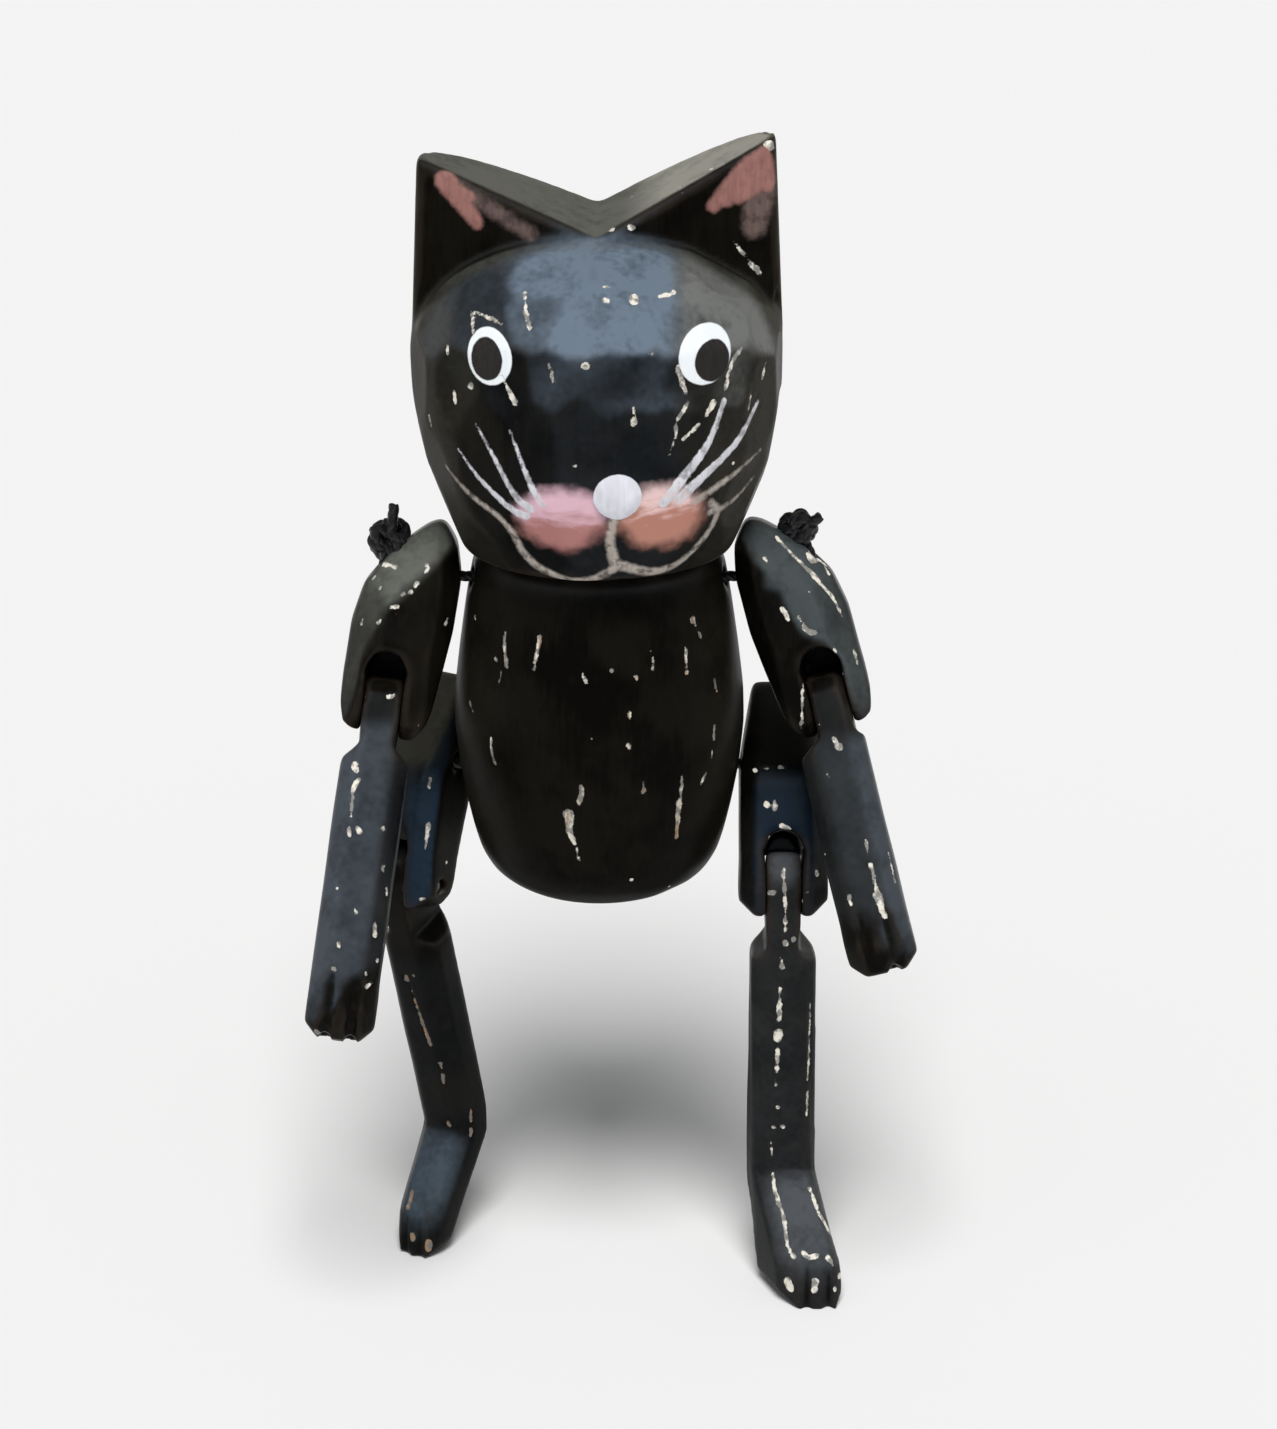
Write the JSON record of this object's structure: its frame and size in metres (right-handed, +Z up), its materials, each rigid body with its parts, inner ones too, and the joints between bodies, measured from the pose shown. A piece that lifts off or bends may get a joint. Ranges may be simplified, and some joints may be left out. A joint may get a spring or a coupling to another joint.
{
  "type": "jointed wooden cat figurine",
  "caption": "Standing hand-carved wooden cat figurine, painted black, with a barrel body, notched ears and cord-strung arms and legs that hinge at elbow and knee.",
  "frame": {"origin": "on the ground, under the centre of the bounding box, in the standing pose of the picture", "axes": "+Z up, +X to the cat's own left, and the cat faces -Y"},
  "size_m": [0.0824, 0.0482, 0.1674],
  "materials": {
    "black_paint": "satin black paint, chipped at the edges",
    "bare_wood": "bare turned wood",
    "cord": "waxed dark cord",
    "pin_steel": "dull wire nail"
  },
  "bodies": {
    "torso": {"body": "black_paint", "neck_dowel": "bare_wood", "shoulder_cord": "cord", "hip_cord": "cord"},
    "head": {"head": "black_paint"},
    "upper_arm_left": {"upper_arm_left": "black_paint", "shoulder_knot_left": "cord", "elbow_pin_left": "pin_steel"},
    "forearm_left": {"forearm_left": "black_paint"},
    "thigh_left": {"thigh_left": "black_paint", "hip_knot_left": "cord", "knee_pin_left": "pin_steel"},
    "lower_leg_left": {"lower_leg_left": "black_paint"},
    "upper_arm_right": {"upper_arm_right": "black_paint", "shoulder_knot_right": "cord", "elbow_pin_right": "pin_steel"},
    "forearm_right": {"forearm_right": "black_paint"},
    "thigh_right": {"thigh_right": "black_paint", "hip_knot_right": "cord", "knee_pin_right": "pin_steel"},
    "lower_leg_right": {"lower_leg_right": "black_paint"}
  },
  "joints": [
    {"name": "neck", "type": "hinge", "parent": "torso", "child": "head", "pos_m": [-0.00184, -0.00096, 0.1122], "axis": [0, 0, 1], "range_deg": [-45, 45]},
    {"name": "shoulder_left", "type": "hinge", "parent": "torso", "child": "upper_arm_left", "pos_m": [0.01656, 0.00374, 0.1073], "axis": [-0.9681, 0, -0.2504], "range_deg": [-4, 65]},
    {"name": "elbow_left", "type": "hinge", "parent": "upper_arm_left", "child": "forearm_left", "pos_m": [0.0294, -0.00027, 0.09112], "axis": [-0.9681, 0, -0.2504], "range_deg": [-5, 65]},
    {"name": "hip_left", "type": "hinge", "parent": "torso", "child": "thigh_left", "pos_m": [0.01674, 0.00914, 0.078], "axis": [-1, 0, 0], "range_deg": [-45, 12]},
    {"name": "knee_left", "type": "hinge", "parent": "thigh_left", "child": "lower_leg_left", "pos_m": [0.02362, 0.00182, 0.06156], "axis": [1, 0, 0], "range_deg": [-25, 70]},
    {"name": "shoulder_right", "type": "hinge", "parent": "torso", "child": "upper_arm_right", "pos_m": [-0.02024, 0.00374, 0.1073], "axis": [-0.9903, 0, 0.1392], "range_deg": [-5, 65]},
    {"name": "elbow_right", "type": "hinge", "parent": "upper_arm_right", "child": "forearm_right", "pos_m": [-0.03108, -0.00015, 0.09035], "axis": [-0.9903, 0, 0.1392], "range_deg": [-8, 65]},
    {"name": "hip_right", "type": "hinge", "parent": "torso", "child": "thigh_right", "pos_m": [-0.02042, 0.00914, 0.078], "axis": [-0.866, 0.5, 0], "range_deg": [-45, 9]},
    {"name": "knee_right", "type": "hinge", "parent": "thigh_right", "child": "lower_leg_right", "pos_m": [-0.02931, 0.0082, 0.06079], "axis": [0.866, -0.5, 0], "range_deg": [-25, 65]}
  ]
}
